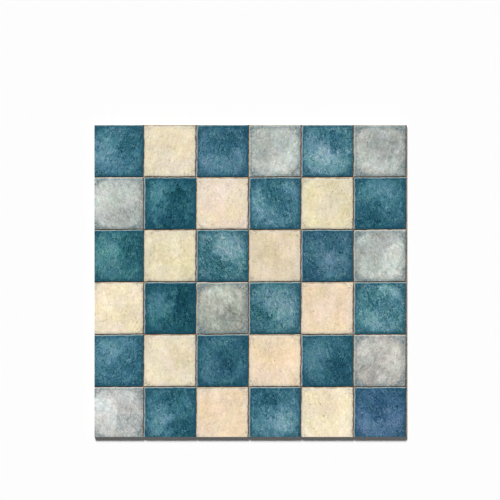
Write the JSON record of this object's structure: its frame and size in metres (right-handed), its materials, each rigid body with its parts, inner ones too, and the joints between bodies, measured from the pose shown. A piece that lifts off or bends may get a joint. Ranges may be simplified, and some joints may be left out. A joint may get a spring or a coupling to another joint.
{
  "type": "peel and stick backsplash tile",
  "caption": "Square self-adhesive PVC wall tile sheet on its release liner, pressed with shallow grout joints and printed as aged blue, cream and grey squares.",
  "frame": {"origin": "middle of the release liner's underside, on the surface that the sheet lies on", "axes": "+Z out of the printed face, +X across the front to the right, +Y up the front as the print stands on a wall"},
  "size_m": [0.3048, 0.3048, 0.0016],
  "materials": {
    "printed_pvc": "satin",
    "release_paper": "matte"
  },
  "bodies": {
    "root": {"tile_sheet": "printed_pvc", "release_liner": "release_paper"}
  },
  "joints": []
}
